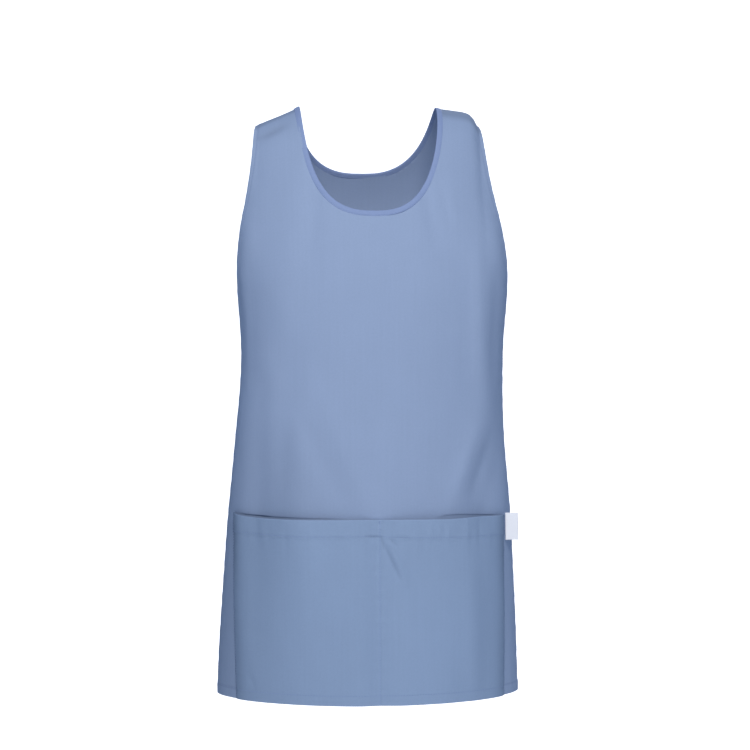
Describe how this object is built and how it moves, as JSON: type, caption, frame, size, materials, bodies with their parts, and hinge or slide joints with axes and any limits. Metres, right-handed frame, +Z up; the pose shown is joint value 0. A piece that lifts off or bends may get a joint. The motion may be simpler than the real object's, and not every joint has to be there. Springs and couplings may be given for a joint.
{
  "type": "cobbler apron",
  "caption": "Cobbler apron, a sleeveless cover for front and back that is open at the sides, with a bound neck, side straps and a wide divided patch pocket",
  "frame": {"origin": "midway between the shoulders, level with the points where the neck edge crosses them; the apron rests there on the wearer's shoulders", "axes": "+Z is up, the front faces -Y, and +X is on the right seen from the front"},
  "size_m": [0.3543, 0.2455, 0.6871],
  "materials": {
    "cloth": "matt woven cloth",
    "binding": "matt woven cloth, folded and topstitched",
    "label_tape": "smooth woven tape"
  },
  "bodies": {
    "root": {"front_panel": "cloth", "back_panel": "cloth", "pocket_panel": "cloth", "neck_binding": "binding", "side_strap_left": "cloth", "side_strap_right": "cloth", "label_tab": "label_tape"}
  },
  "joints": []
}
